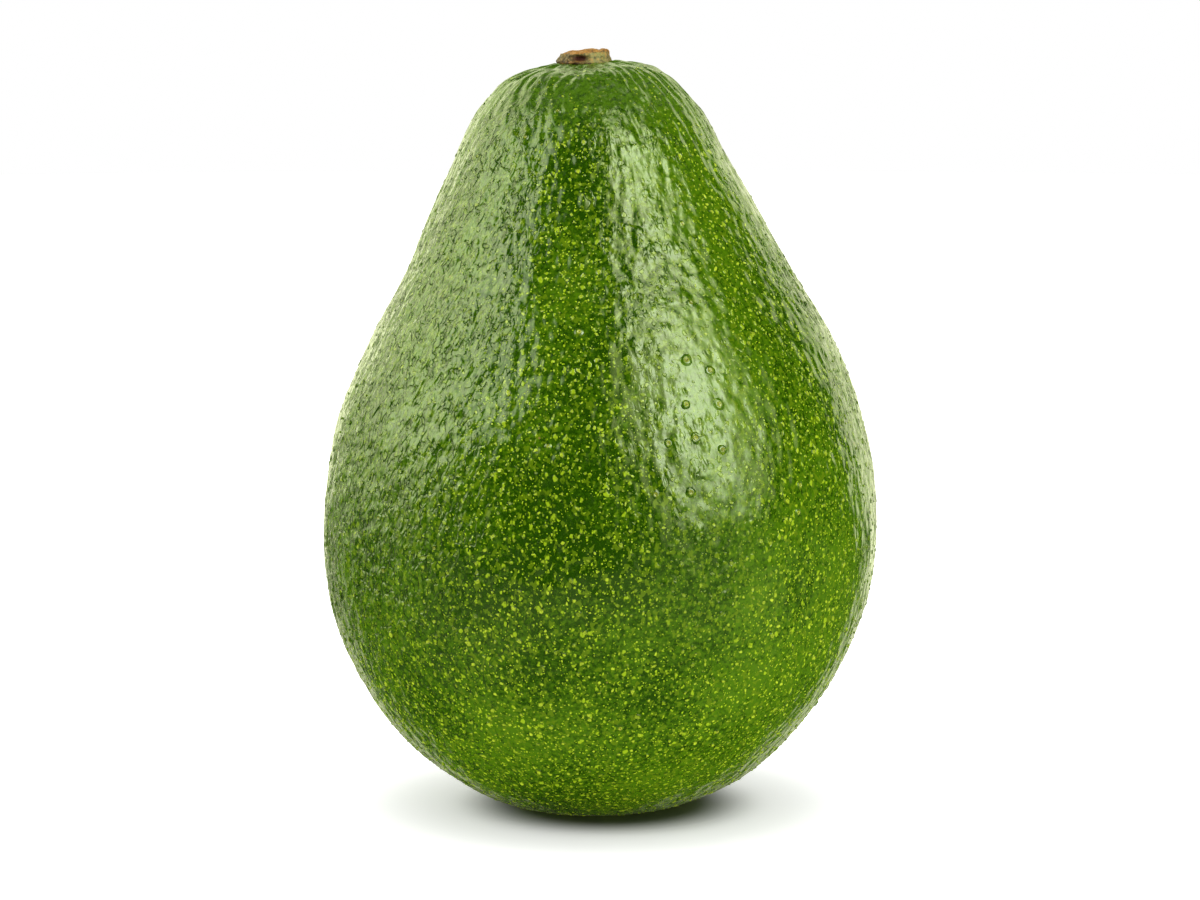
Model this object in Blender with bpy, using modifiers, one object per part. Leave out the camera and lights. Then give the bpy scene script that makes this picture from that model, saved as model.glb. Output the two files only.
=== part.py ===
"""A whole avocado standing on its blossom end, with the stub of its stalk at the crown.

The fruit is one solid: a sphere reshaped to a turned pear outline, then given the lean,
the slightly oval section and the sloping crown of a real fruit. The stalk stub is a
separate small turned button that stands in the flat seat at the crown.
The sizes below are in millimetres and the objects in metres. +Z is up, and the origin is
the centre of the flat resting spot.
"""

from math import acos, atan2, cos, pi, radians, sin, tan

import bmesh
import bpy
from mathutils import Euler, Vector

MM = 0.001

# Outline of the fruit as (height, radius), from the rim of the resting spot up to the
# rim of the stalk's seat. The smooth curve between the stations is worked out.
FOOT_RADIUS = 8.0
SEAT_RADIUS = 4.4
SEAT_HEIGHT = 102.6
OUTLINE = (
    (0.0, FOOT_RADIUS),
    (1.6, 14.8),
    (7.0, 23.6),
    (16.0, 31.5),
    (28.0, 36.7),
    (40.0, 38.0),
    (53.0, 36.2),
    (65.0, 31.6),
    (76.0, 25.5),
    (88.0, 19.5),
    (94.5, 16.1),
    (98.5, 13.4),
    (101.3, 9.8),
    (SEAT_HEIGHT, SEAT_RADIUS),
)
CURVE_SAMPLES = 24

# How far the fruit departs from a turned form. Its section is a little oval, with three
# faint lobes that fade out towards the foot. Its centre line moves over by BELLY_SHIFT
# between the foot and the belly, and by the lean between the shoulder and the crown.
DEPTH_RATIO = 0.97
LOBE_COUNT = 3
LOBE_SHARE = 0.004
LOBE_PHASE = radians(40.0)
LOBE_TOP = 30.0
BELLY_SHIFT = 0.7
BELLY_TOP = 50.0
LEAN_START = 61.0
LEAN_X = -2.1
LEAN_Y = 1.2
CROWN_SLOPE = radians(2.8)
CROWN_SLOPE_START = 90.0

# Mesh density of the fruit: meridians round it, and rings from pole to pole.
MERIDIANS = 64
RINGS = 44

# The stalk stub: a short button with a flared base, a curled rim and a shallow hollow.
STUB_GAP = 0.3
STUB_HEIGHT = 1.6
STUB_BASE_RADIUS = 3.7
STUB_FLARE_HEIGHT = 0.35
STUB_WAIST_RADIUS = 3.2
STUB_RIM_RADIUS = 3.3
STUB_RIM_WIDTH = 1.1
STUB_RIM_ROUND = 0.25
STUB_HOLLOW_DEPTH = 0.5
STUB_SEGMENTS = 40

SKIN_COLOUR = (0.075, 0.190, 0.020, 1.0)
SKIN_ROUGHNESS = 0.4
STALK_COLOUR = (0.170, 0.085, 0.030, 1.0)
STALK_ROUGHNESS = 0.7


def clear_scene():
    """Remove every object that the new file starts with."""
    for item in list(bpy.data.objects):
        bpy.data.objects.remove(item, do_unlink=True)


def make_collection(name):
    """Make a collection under the scene's own and return it."""
    collection = bpy.data.collections.new(name)
    bpy.context.scene.collection.children.link(collection)
    return collection


def make_material(name, colour, roughness):
    """Make a plain Principled material of the given colour and roughness."""
    material = bpy.data.materials.new(name)
    material.use_nodes = True
    shader = material.node_tree.nodes["Principled BSDF"]
    shader.inputs["Base Color"].default_value = colour
    shader.inputs["Roughness"].default_value = roughness
    shader.inputs["Metallic"].default_value = 0.0
    return material


def add_mesh_object(name, mesh, collection, material):
    """Wrap a bmesh in a smooth-shaded object with one material."""
    data = bpy.data.meshes.new(name)
    mesh.to_mesh(data)
    mesh.free()
    data.materials.append(material)
    data.shade_smooth()
    item = bpy.data.objects.new(name, data)
    collection.objects.link(item)
    return item


def curve_point(before, start, end, after, share):
    """Point at a share of the way from start to end on a Catmull-Rom curve."""
    leave = (end - before) * 0.5
    arrive = (after - start) * 0.5
    square = share * share
    cube = square * share
    return (
        start * (2.0 * cube - 3.0 * square + 1.0)
        + leave * (cube - 2.0 * square + share)
        + end * (3.0 * square - 2.0 * cube)
        + arrive * (cube - square)
    )


def smooth_curve(stations):
    """Sample the smooth curve that runs through the stations."""
    points = [Vector(station) for station in stations]
    points.insert(0, points[0] * 2.0 - points[1])
    points.append(points[-1] * 2.0 - points[-2])
    curve = []
    for index in range(1, len(points) - 2):
        neighbours = points[index - 1:index + 3]
        for step in range(CURVE_SAMPLES):
            curve.append(curve_point(*neighbours, step / CURVE_SAMPLES))
    curve.append(points[-2])
    return curve


def evenly_spaced(curve, count):
    """Pick count + 1 points along a sampled curve, the same distance apart."""
    reach = [0.0]
    for start, end in zip(curve, curve[1:]):
        reach.append(reach[-1] + (end - start).length)
    picked = []
    segment = 0
    for step in range(count + 1):
        wanted = reach[-1] * step / count
        while segment < len(reach) - 2 and reach[segment + 1] < wanted:
            segment += 1
        share = (wanted - reach[segment]) / (reach[segment + 1] - reach[segment])
        picked.append(curve[segment].lerp(curve[segment + 1], share))
    return picked


def ease(height, start, end):
    """Smooth share of the way from a start height to an end height, from 0 to 1."""
    share = max(0.0, min(1.0, (height - start) / (end - start)))
    return share * share * (3.0 - 2.0 * share)


def fruit_point(height, radius, angle):
    """Place one point of the skin, from its height, turned radius and angle."""
    lobe = LOBE_SHARE * sin(LOBE_COUNT * angle + LOBE_PHASE) * ease(height, 0.0, LOBE_TOP)
    reach = radius * (1.0 + lobe)
    x = reach * cos(angle)
    y = reach * sin(angle) * DEPTH_RATIO
    lean = ease(height, LEAN_START, SEAT_HEIGHT)
    shift = BELLY_SHIFT * ease(height, 0.0, BELLY_TOP) + LEAN_X * lean
    slope = tan(CROWN_SLOPE) * ease(height, CROWN_SLOPE_START, SEAT_HEIGHT)
    return Vector((x + shift, y + LEAN_Y * lean, height + x * slope)) * MM


def make_fruit(collection):
    """Reshape a sphere into the fruit: its pole fans become the foot and the seat."""
    mesh = bmesh.new()
    bmesh.ops.create_uvsphere(mesh, u_segments=MERIDIANS, v_segments=RINGS, radius=1.0)
    outline = evenly_spaced(smooth_curve(OUTLINE), RINGS - 2)
    for vertex in mesh.verts:
        from_foot = acos(max(-1.0, min(1.0, -vertex.co.z)))
        ring = round(RINGS * from_foot / pi)
        angle = atan2(vertex.co.y, vertex.co.x)
        if ring == 0:
            vertex.co = fruit_point(0.0, 0.0, angle)
        elif ring == RINGS:
            vertex.co = fruit_point(SEAT_HEIGHT, 0.0, angle)
        else:
            height, radius = outline[ring - 1]
            vertex.co = fruit_point(height, radius, angle)
    bmesh.ops.recalc_face_normals(mesh, faces=mesh.faces)
    skin = make_material("avocado_skin", SKIN_COLOUR, SKIN_ROUGHNESS)
    return add_mesh_object("fruit", mesh, collection, skin)


def stub_outline():
    """Radius and height from the middle of the stub's hollow, over its rim, to its base."""
    rim_inside = STUB_RIM_RADIUS - STUB_RIM_WIDTH
    rim_middle = STUB_RIM_RADIUS - STUB_RIM_WIDTH * 0.5
    hollow_floor = STUB_HEIGHT - STUB_HOLLOW_DEPTH
    return (
        (0.0, hollow_floor),
        (rim_inside, hollow_floor + STUB_RIM_ROUND * 0.5),
        (rim_inside + STUB_RIM_ROUND, STUB_HEIGHT - STUB_RIM_ROUND * 0.5),
        (rim_middle, STUB_HEIGHT),
        (STUB_RIM_RADIUS - STUB_RIM_ROUND, STUB_HEIGHT - STUB_RIM_ROUND * 0.3),
        (STUB_RIM_RADIUS, STUB_HEIGHT - STUB_RIM_ROUND),
        (STUB_WAIST_RADIUS, STUB_HEIGHT * 0.5),
        (STUB_BASE_RADIUS - STUB_RIM_ROUND, STUB_FLARE_HEIGHT),
        (STUB_BASE_RADIUS, 0.0),
        (0.0, 0.0),
    )


def make_stub(collection):
    """Turn the stalk stub about its own axis and stand it in the sloping seat."""
    mesh = bmesh.new()
    corners = []
    for radius, height in stub_outline():
        corners.append(mesh.verts.new((radius * MM, 0.0, height * MM)))
    for upper, lower in zip(corners, corners[1:]):
        mesh.edges.new((upper, lower))
    stalk = make_material("stalk", STALK_COLOUR, STALK_ROUGHNESS)
    stub = add_mesh_object("stem_stub", mesh, collection, stalk)
    turn = stub.modifiers.new("turn", "SCREW")
    turn.axis = "Z"
    turn.angle = 2.0 * pi
    turn.steps = STUB_SEGMENTS
    turn.render_steps = STUB_SEGMENTS
    turn.use_merge_vertices = True
    turn.merge_threshold = 1e-5
    turn.use_smooth_shade = True
    tilt = Euler((0.0, -CROWN_SLOPE, 0.0))
    above_seat = tilt.to_matrix() @ Vector((0.0, 0.0, STUB_GAP * MM))
    stub.rotation_euler = tilt
    stub.location = fruit_point(SEAT_HEIGHT, 0.0, 0.0) + above_seat
    return stub


def main():
    """Build the two pieces of the avocado."""
    clear_scene()
    collection = make_collection("avocado")
    make_fruit(collection)
    make_stub(collection)


main()
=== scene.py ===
"""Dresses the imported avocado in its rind, its lenticels and its stalk stub, in a white studio.

Sizes are in millimetres, and a mesh is turned into metres when it is written. Each surface
is worked out on a grid of two parameters: the angle round the fruit or the stub, and the
way along its outline.
"""

import logging
from dataclasses import dataclass, field
from enum import Enum
from functools import reduce

import bpy
import numpy as np
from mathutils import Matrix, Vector
from numpy.typing import NDArray


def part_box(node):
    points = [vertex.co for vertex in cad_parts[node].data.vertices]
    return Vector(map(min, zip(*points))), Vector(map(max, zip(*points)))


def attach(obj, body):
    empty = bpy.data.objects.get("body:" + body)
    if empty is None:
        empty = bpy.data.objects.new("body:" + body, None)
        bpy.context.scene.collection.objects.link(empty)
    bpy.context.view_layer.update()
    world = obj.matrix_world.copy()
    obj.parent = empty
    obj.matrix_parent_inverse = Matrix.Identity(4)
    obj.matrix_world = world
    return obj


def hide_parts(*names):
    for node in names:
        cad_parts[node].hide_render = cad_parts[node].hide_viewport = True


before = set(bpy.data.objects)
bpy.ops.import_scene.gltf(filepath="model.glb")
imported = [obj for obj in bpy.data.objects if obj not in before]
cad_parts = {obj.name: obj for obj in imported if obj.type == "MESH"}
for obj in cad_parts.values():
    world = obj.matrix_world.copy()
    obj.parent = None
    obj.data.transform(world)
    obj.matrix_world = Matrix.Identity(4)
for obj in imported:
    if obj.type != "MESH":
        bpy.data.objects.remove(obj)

Array = NDArray[np.float64]
Pair = tuple[float, float]
Triple = tuple[float, float, float]
Ramp = tuple[float, float, float, float]
Colour = tuple[float, float, float, float]
Stations = tuple[Pair, ...]
Profile = tuple[tuple[float, float, float, float], ...]
Node = bpy.types.Node
Socket = bpy.types.NodeSocket

MM = 0.001
CURVE_SAMPLES = 24
# A Gaussian blur's wavelength is taken as this many of its spreads.
WAVES_PER_SPREAD = 8.9
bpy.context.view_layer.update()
# Half a cell of the lenticels' flat map, less a margin.
HALF_CELL = 0.46
# Bearings in degrees run from +X towards +Y, and the camera looks along +Y at the front.
FRONT = -90.0
FULL_TURN = 360.0
LOG = logging.getLogger("avocado")


class Mark(Enum):
    """Names of the attributes that the meshes carry for their finishes."""

    WRINKLE = "wrinkle"
    # Painted light below and at the right, and painted shade on the front, over random patches.
    PAINTED_LIGHT_AND_PATCHES = "shade"
    CROWN = "crown"
    CALM = "calm"
    CORK = "cork"
    PIT = "pit"
    TONE = "tone"
    RIM = "rim"
    HOLLOW = "hollow"
    MOSS = "moss"


class SpotKind(Enum):
    """The four sorts of lenticel on the rind, from the largest."""

    RING = "ring_lenticels"
    KNOB = "knob_lenticels"
    DOME = "dome_lenticels"
    FLECK = "fleck_lenticels"


# ---------------------------------------------------------------- arrays and curves


def ease(value: Array | float, start: float, end: float) -> Array:
    """Give the smooth share of the way from start to end, from 0 to 1.

    Args:
        value: where each point lies.
        start: value at which the share is 0.
        end: value at which the share is 1.

    Returns:
        Three squares less two cubes of the straight share, held between 0 and 1.
    """
    share = np.clip((np.asarray(value, dtype=float) - start) / (end - start), 0.0, 1.0)
    return share * share * (3.0 - 2.0 * share)


def bell(value: Array | float, middle: float, width: float) -> Array:
    """Give a bell curve: 1 in the middle, and e to the minus 1 at one width from it."""
    return np.exp(-(((np.asarray(value, dtype=float) - middle) / width) ** 2))


def ring_angles(columns: int) -> Array:
    """Give the angle of each column round a ring, in radians."""
    return np.arange(columns) * 2.0 * np.pi / columns


def turned_from(angle: Array, bearing: float) -> Array:
    """Give how far each angle is turned from a bearing in degrees, the shorter way round."""
    return np.angle(np.exp(1j * (angle - np.radians(bearing))))


def unit(vectors: Array) -> Array:
    """Scale vectors, along the last axis, to a length of 1."""
    length = np.linalg.norm(vectors, axis=-1, keepdims=True)
    return vectors / np.maximum(length, 1e-12)


def smooth_curve(stations: Stations) -> Array:
    """Run a Catmull-Rom curve through the stations.

    Each span is the cubic that starts and ends at two stations, and leaves each of them
    along half the step between the stations beside it.

    Args:
        stations: the points that the curve runs through.

    Returns:
        The sampled curve, one point a row.
    """
    points = np.array(stations, dtype=float)
    points = np.vstack([2.0 * points[0] - points[1], points, 2.0 * points[-1] - points[-2]])
    before, start, end, after = (points[first:len(points) - 3 + first, None] for first in range(4))
    share = np.linspace(0.0, 1.0, CURVE_SAMPLES, endpoint=False)[None, :, None]
    square, cube = share * share, share * share * share
    spans = (
        start * (2.0 * cube - 3.0 * square + 1.0)
        + (end - before) * 0.5 * (cube - 2.0 * square + share)
        + end * (3.0 * square - 2.0 * cube)
        + (after - start) * 0.5 * (cube - square)
    )
    return np.vstack([spans.reshape(-1, points.shape[1]), points[-2]])


def evenly_spaced(curve: Array, count: int) -> tuple[Array, Array]:
    """Pick points along a sampled curve, the same distance apart.

    Args:
        curve: the sampled curve, one point a row.
        count: how many points are wanted.

    Returns:
        The picked points, and how far along the curve each one lies.
    """
    steps = np.linalg.norm(np.diff(curve, axis=0), axis=1)
    reach = np.concatenate([[0.0], np.cumsum(steps)])
    wanted = np.linspace(0.0, reach[-1], count)
    picked = [np.interp(wanted, reach, curve[:, axis]) for axis in range(curve.shape[1])]
    return np.column_stack(picked), wanted


def meridian_noise(
    random: np.random.Generator,
    radius: Array,
    reach: Array,
    columns: int,
    across: float,
    along: float,
    most_turns: float = np.inf,
) -> Array:
    """Work out soft noise that runs along the meridians of a turned surface.

    White noise on the grid is blurred by a Gaussian, first round each ring and then along
    the meridians. The blur round a ring has the same width in millimetres at every
    height, so that the noise has no seam and doesn't crowd at the poles.

    Args:
        random: where the white noise comes from.
        radius: radius of each ring.
        reach: distance of each ring along the outline.
        columns: points round a ring.
        across: wavelength round the fruit.
        along: wavelength along a meridian.
        most_turns: most waves round a ring, which makes them converge near a pole.

    Returns:
        The noise on the grid, with a mean square of 1.
    """
    white = random.standard_normal((radius.size, columns))
    turns = np.arange(columns // 2 + 1)
    wave = np.maximum(across, 2.0 * np.pi * radius / most_turns)
    spread = wave / WAVES_PER_SPREAD / np.maximum(radius, across / WAVES_PER_SPREAD)
    weight = np.exp(-0.5 * (turns[None, :] * spread[:, None]) ** 2)
    gain = np.sqrt((weight[:, 0] ** 2 + 2.0 * (weight[:, 1:] ** 2).sum(axis=1)) / columns)
    rings = np.fft.irfft(np.fft.rfft(white, axis=1) * weight, n=columns, axis=1) / gain[:, None]
    mirrored = np.concatenate([rings, rings[::-1]], axis=0)
    pace = np.fft.rfftfreq(mirrored.shape[0], d=reach[1] - reach[0])
    blur = np.exp(-0.5 * (2.0 * np.pi * pace * along / WAVES_PER_SPREAD) ** 2)
    smooth = np.fft.irfft(np.fft.rfft(mirrored, axis=0) * blur[:, None], n=mirrored.shape[0], axis=0)
    field = smooth[:radius.size]
    return field / field.std()


# ---------------------------------------------------------------- meshes


def write_mesh(
    name: str,
    points: Array,
    faces: list[list[int]],
    marks: dict[Mark, Array],
    bake_map: Array,
    flat: slice = slice(0, 0),
) -> bpy.types.Object:
    """Put a worked-out surface into a mesh object at the origin.

    Args:
        name: name of the piece.
        points: its corners, in millimetres.
        faces: the corners of each face, turning left as seen from outside.
        marks: a number for each corner, by the name of its attribute.
        bake_map: the place of each face corner on the piece's own flat map.
        flat: the faces that don't share their shading with those beside them.

    Returns:
        The new object, shaded smooth.
    """
    data = bpy.data.meshes.new(name)
    data.from_pydata((points * MM).tolist(), [], faces)
    smooth = np.ones(len(faces), dtype=bool)
    smooth[flat] = False
    data.polygons.foreach_set("use_smooth", smooth)
    for mark, values in marks.items():
        attribute = data.attributes.new(mark.value, "FLOAT", "POINT")
        attribute.data.foreach_set("value", values.astype(np.float32).ravel())
    layer = data.uv_layers.new(name="OFBake")
    layer.uv.foreach_set("vector", bake_map.astype(np.float32).ravel())
    data.validate()
    piece = bpy.data.objects.new(name, data)
    bpy.context.scene.collection.objects.link(piece)
    return piece


def closed_grid(rows: int, columns: int) -> tuple[list[list[int]], Array]:
    """List the faces of a surface that is closed round its rings and at both poles.

    Corner 0 is the first pole, the rings follow one after the other, and the last corner
    is the other pole. The flat map unrolls the surface: round it in u, along it in v.

    Args:
        rows: rings between the poles.
        columns: points round a ring.

    Returns:
        The faces, and the place of each of their corners on the flat map.
    """
    ring, column = np.mgrid[:rows, :columns]
    here = 1 + ring * columns + column
    beside = 1 + ring * columns + (column + 1) % columns
    quads = np.stack([here[:-1], beside[:-1], beside[1:], here[1:]], axis=-1).reshape(-1, 4)
    last = rows * columns + 1
    start_fan = np.stack([np.zeros(columns, int), beside[0], here[0]], axis=-1)
    end_fan = np.stack([here[-1], beside[-1], np.full(columns, last)], axis=-1)
    left, right, height = column / columns, (column + 1) / columns, (ring + 1) / (rows + 1)
    near_left, near_right = (np.stack([side, height], axis=-1) for side in (left, right))
    corners = [near_left[:-1], near_right[:-1], near_right[1:], near_left[1:]]
    quad_map = np.stack(corners, axis=2).reshape(-1, 2)
    middle = (left[0] + right[0]) * 0.5
    start, end = (np.stack([middle, np.full(columns, pole)], axis=-1) for pole in (0.0, 1.0))
    start_map = np.stack([start, near_right[0], near_left[0]], axis=1).reshape(-1, 2)
    end_map = np.stack([near_left[-1], near_right[-1], end], axis=1).reshape(-1, 2)
    faces = quads.tolist() + start_fan.tolist() + end_fan.tolist()
    return faces, np.vstack([quad_map, start_map, end_map])


def with_poles(grid: Array) -> Array:
    """Flatten a grid whose first and last rows are poles, keeping one value for each pole."""
    inner = grid[1:-1].reshape(-1, *grid.shape[2:])
    return np.concatenate([grid[:1, 0], inner, grid[-1:, 0]])


# ---------------------------------------------------------------- the fruit's form


@dataclass
class FruitForm:
    """The smooth form of the fruit: a turned outline that leans and is a little oval."""

    foot_radius: float = 8.0
    seat_radius: float = 4.4
    seat_height: float = 102.6
    outline: Stations = (
        (0.0, 8.0), (1.6, 14.8), (7.0, 23.6), (16.0, 31.5), (28.0, 36.7), (40.0, 38.0),
        (53.0, 36.2), (65.0, 31.6), (76.0, 25.5), (88.0, 19.5), (94.5, 16.1), (98.5, 13.4),
        (101.3, 9.8), (102.6, 4.4),
    )
    dimple: Stations = ((102.6, 4.4), (102.5, 3.5), (102.25, 2.4), (102.15, 1.2), (102.1, 0.0))
    depth_ratio: float = 0.97
    lobe_count: int = 3
    lobe_share: float = 0.004
    lobe_phase: float = np.radians(40.0)
    lobe_top: float = 30.0
    belly_shift: float = 0.7
    belly_top: float = 50.0
    lean_start: float = 61.0
    lean_x: float = -2.1
    lean_y: float = 1.2
    crown_slope: float = np.radians(2.8)
    crown_slope_start: float = 90.0

    def profile(self, count: int) -> tuple[Array, Array, Array]:
        """Sample the outline from the middle of the foot to the middle of the crown.

        Args:
            count: how many points are wanted, the same distance apart.

        Returns:
            How far along the outline each point lies, its height and its radius.
        """
        foot = np.array([[0.0, 0.0], [0.0, self.foot_radius * 0.999]])
        curve = np.vstack([foot, smooth_curve(self.outline), smooth_curve(self.dimple)[1:]])
        picked, reach = evenly_spaced(curve, count)
        return reach, picked[:, 0], picked[:, 1]

    def place(self, height: Array, radius: Array, angle: Array) -> Array:
        """Place points of the skin.

        Each point of the turned outline goes out by three faint lobes, and in a little
        from front to back. Its centre line then moves over between foot and belly, leans
        between shoulder and crown, and the crown slopes.

        Args:
            height: height on the turned outline.
            radius: radius on the turned outline.
            angle: angle round the fruit, from +X towards +Y.

        Returns:
            The points, with x, y and z along the last axis.
        """
        wave = np.sin(self.lobe_count * angle + self.lobe_phase)
        lobe = self.lobe_share * wave * ease(height, 0.0, self.lobe_top)
        x = radius * (1.0 + lobe) * np.cos(angle)
        y = radius * (1.0 + lobe) * np.sin(angle) * self.depth_ratio
        lean = ease(height, self.lean_start, self.seat_height)
        shift = self.belly_shift * ease(height, 0.0, self.belly_top) + self.lean_x * lean
        slope = np.tan(self.crown_slope) * ease(height, self.crown_slope_start, self.seat_height)
        return np.stack([x + shift, y + self.lean_y * lean, height + x * slope], axis=-1)


@dataclass
class Surface:
    """A surface on its grid, on which smaller things can be set.

    Each ring has its reach along the outline, its height and its radius on the turned
    form. The marks are shares on the same grid, which the finishes read.
    """

    points: Array
    reach: Array
    height: Array
    radius: Array
    marks: dict[Mark, Array] = field(default_factory=dict)

    def noise(
        self, random: np.random.Generator, across: float, along: float, most_turns: float = np.inf
    ) -> Array:
        """Work out soft noise along this surface's meridians, as meridian_noise does."""
        columns = self.points.shape[1]
        return meridian_noise(random, self.radius, self.reach, columns, across, along, most_turns)

    def frames(self) -> tuple[Array, Array, Array]:
        """Find the directions round the fruit, along the meridian and out of the skin.

        Returns:
            Three unit vectors for each point of the grid.
        """
        across = np.roll(self.points, -1, axis=1) - np.roll(self.points, 1, axis=1)
        along = np.gradient(self.points, axis=0)
        out = unit(np.cross(across, along))
        out[0] = (0.0, 0.0, -1.0)
        out[-1] = (0.0, 0.0, 1.0)
        across = unit(np.cross(along, out))
        return across, unit(along), out

    @staticmethod
    def sample(grid: Array, row: Array, column: Array) -> Array:
        """Read a grid between its points.

        Args:
            grid: what is read, with a row for each ring.
            row: how many rings up each place is, with its part of a ring.
            column: how many columns round each place is, with its part of a column.

        Returns:
            The straight blend of the four points about each place.
        """
        low = np.clip(row.astype(int), 0, grid.shape[0] - 2)
        left = column.astype(int) % grid.shape[1]
        right = (left + 1) % grid.shape[1]
        up = (row - low)[:, None]
        over = (column - np.floor(column))[:, None]
        bottom = grid[low, left] * (1.0 - over) + grid[low, right] * over
        top = grid[low + 1, left] * (1.0 - over) + grid[low + 1, right] * over
        return bottom * (1.0 - up) + top * up


# ---------------------------------------------------------------- the rind


@dataclass
class Rind:
    """The skin of the fruit: its form, with dents, wrinkles, pebbling and crown grooves.

    A layer of relief is its wavelengths across and along the meridians, and its depth. A
    patch is its bearing in degrees, and the width of its bell in radians; the patches of
    noise are their wavelengths. A rise is the heights where it starts and is complete.
    """

    form: FruitForm
    rows: int = 236
    columns: int = 420
    swell: Triple = (26.0, 38.0, 0.12)
    dent: Triple = (7.0, 14.0, 0.022)
    wrinkle: Triple = (2.2, 5.0, 0.085)
    pebble: Triple = (2.0, 2.6, 0.024)
    crown_groove: Triple = (2.2, 12.0, 0.12)
    crown_turns: float = 30.0
    crown_start: float = 86.0
    crown_clear: float = 2.0
    crown_rise: Pair = (91.0, 100.0)
    crown_settle: Triple = (99.0, 3.4, 0.42)
    neck_shift: float = 0.36
    neck_rise: Pair = (50.0, 72.0)
    neck_end: Pair = (94.0, 101.0)
    smooth_side: Pair = (-58.0, np.radians(46.0))
    # Painted shade on the front of the belly and neck, and painted light at the right.
    painted_shade_belly: Pair = (-98.0, 0.42)
    painted_shade_neck: Pair = (-98.0, 0.40)
    painted_light_side: Pair = (-30.0, 0.62)
    calm_band: Pair = (-40.0, 0.27)
    stripe_bearing: float = -97.0
    stripe_right: float = 0.62
    stripe_width: Pair = (0.48, 0.20)
    stripe_narrows: Pair = (45.0, 80.0)
    wrinkled_patches: Pair = (26.0, 40.0)
    wrinkled_neck: Pair = (52.0, 84.0)
    random_tone_patches: Pair = (30.0, 34.0)
    belly_height: Pair = (44.0, 15.0)
    neck_height: Pair = (88.0, 9.0)
    # Painted light below, fading out between these heights.
    painted_light_below: Pair = (8.0, 40.0)
    calm_below: Pair = (14.0, 40.0)
    bare_crown: Pair = (-96.0, 0.85)
    bare_crown_end: Pair = (98.5, 101.5)
    foot_fade: Pair = (1.0, 14.0)
    stub_fade: Pair = (3.0, 1.0)
    seed: int = 11

    def patch(self, bearing: float, width: float) -> Array:
        """Give a bell round the fruit: 1 at its bearing, by columns."""
        return bell(turned_from(ring_angles(self.columns), bearing), 0.0, width)[None, :]

    def wrinkle_map(self, random: np.random.Generator, smooth: Surface) -> Array:
        """Say where the skin is wrinkled: most on the left and the neck, least at the right.

        Args:
            random: where the patches come from.
            smooth: the smooth form.

        Returns:
            A share from 0 to 1 on the grid.
        """
        patches = smooth.noise(random, *self.wrinkled_patches)
        neck = ease(smooth.height, *self.wrinkled_neck)[:, None]
        share = 0.75 - 0.62 * self.patch(*self.smooth_side) * (1.0 - 0.55 * neck) + 0.12 * patches
        return np.clip(share, 0.05, 1.0)

    def painted_light_map(self, random: np.random.Generator, smooth: Surface) -> Array:
        """Say where the skin is paler or deeper than elsewhere.

        It is painted paler below and at the right, as painted light, and deeper on the front
        of the belly and neck, as painted shade. Random patches are laid over it.

        Args:
            random: where the other patches come from.
            smooth: the smooth form.

        Returns:
            A share on the grid, from -1 where it is deepest to 1 where it is palest.
        """
        height = smooth.height[:, None]
        patches = smooth.noise(random, *self.random_tone_patches)
        # Painted shade on the front of the belly and neck, painted light below and at the right.
        front = self.patch(*self.painted_shade_belly) * bell(height, *self.belly_height)
        front = front + 0.8 * self.patch(*self.painted_shade_neck) * bell(height, *self.neck_height)
        below = 1.0 - ease(height, *self.painted_light_below)
        right = self.patch(*self.painted_light_side)
        return np.clip(0.32 * below - 0.75 * front + 0.32 * right + 0.20 * patches, -1.0, 1.0)

    def calm_map(self, smooth: Surface) -> Array:
        """Say where the skin is calm, which is where its lenticels show best.

        It is calm in a stripe down the front that widens on the belly and is narrower on
        its right, in a band at the right, and below: the skin out of the highlights. There
        the lenticels are painted paler, and they are painted duller where highlights fall,
        as painted light and shade.

        Args:
            smooth: the smooth form.

        Returns:
            A share from 0 to 1 on the grid.
        """
        height = smooth.height[:, None]
        off_stripe = turned_from(ring_angles(self.columns), self.stripe_bearing)[None, :]
        off_stripe = off_stripe / np.where(off_stripe > 0.0, self.stripe_right, 1.0)
        width, narrower = self.stripe_width
        stripe = bell(off_stripe, 0.0, width - narrower * ease(height, *self.stripe_narrows))
        below = 1.0 - ease(height, *self.calm_below)
        band = self.patch(*self.calm_band)
        return 1.0 - (1.0 - 0.92 * stripe) * (1.0 - 0.92 * band) * (1.0 - 0.7 * below)

    def smooth_surface(self) -> Surface:
        """Work out the skin before anything is pressed into it, on its grid of rings and columns."""
        reach, height, radius = self.form.profile(self.rows + 2)
        points = self.form.place(height[:, None], radius[:, None], ring_angles(self.columns)[None, :])
        return Surface(points, reach, height, radius)

    def relief(self, smooth: Surface) -> Surface:
        """Work out the finished skin.

        Every point of the smooth form moves along its own normal by the sum of the layers
        of noise: broad swells, dents, wrinkles that run along the meridians where the
        skin is wrinkled and not calm, pebbling, and at the crown grooves that converge on
        the stalk and leave its front nearly bare. The crown settles by a bell of the
        height, and all of it fades out towards the resting spot and under the stub. The
        neck then moves a little to the right.

        Args:
            smooth: the smooth form.

        Returns:
            The skin on its grid, whose first and last rows are its poles, with its marks.
        """
        random = np.random.default_rng(self.seed)
        height, reach = smooth.height[:, None], smooth.reach
        wrinkled = self.wrinkle_map(random, smooth)
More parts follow.
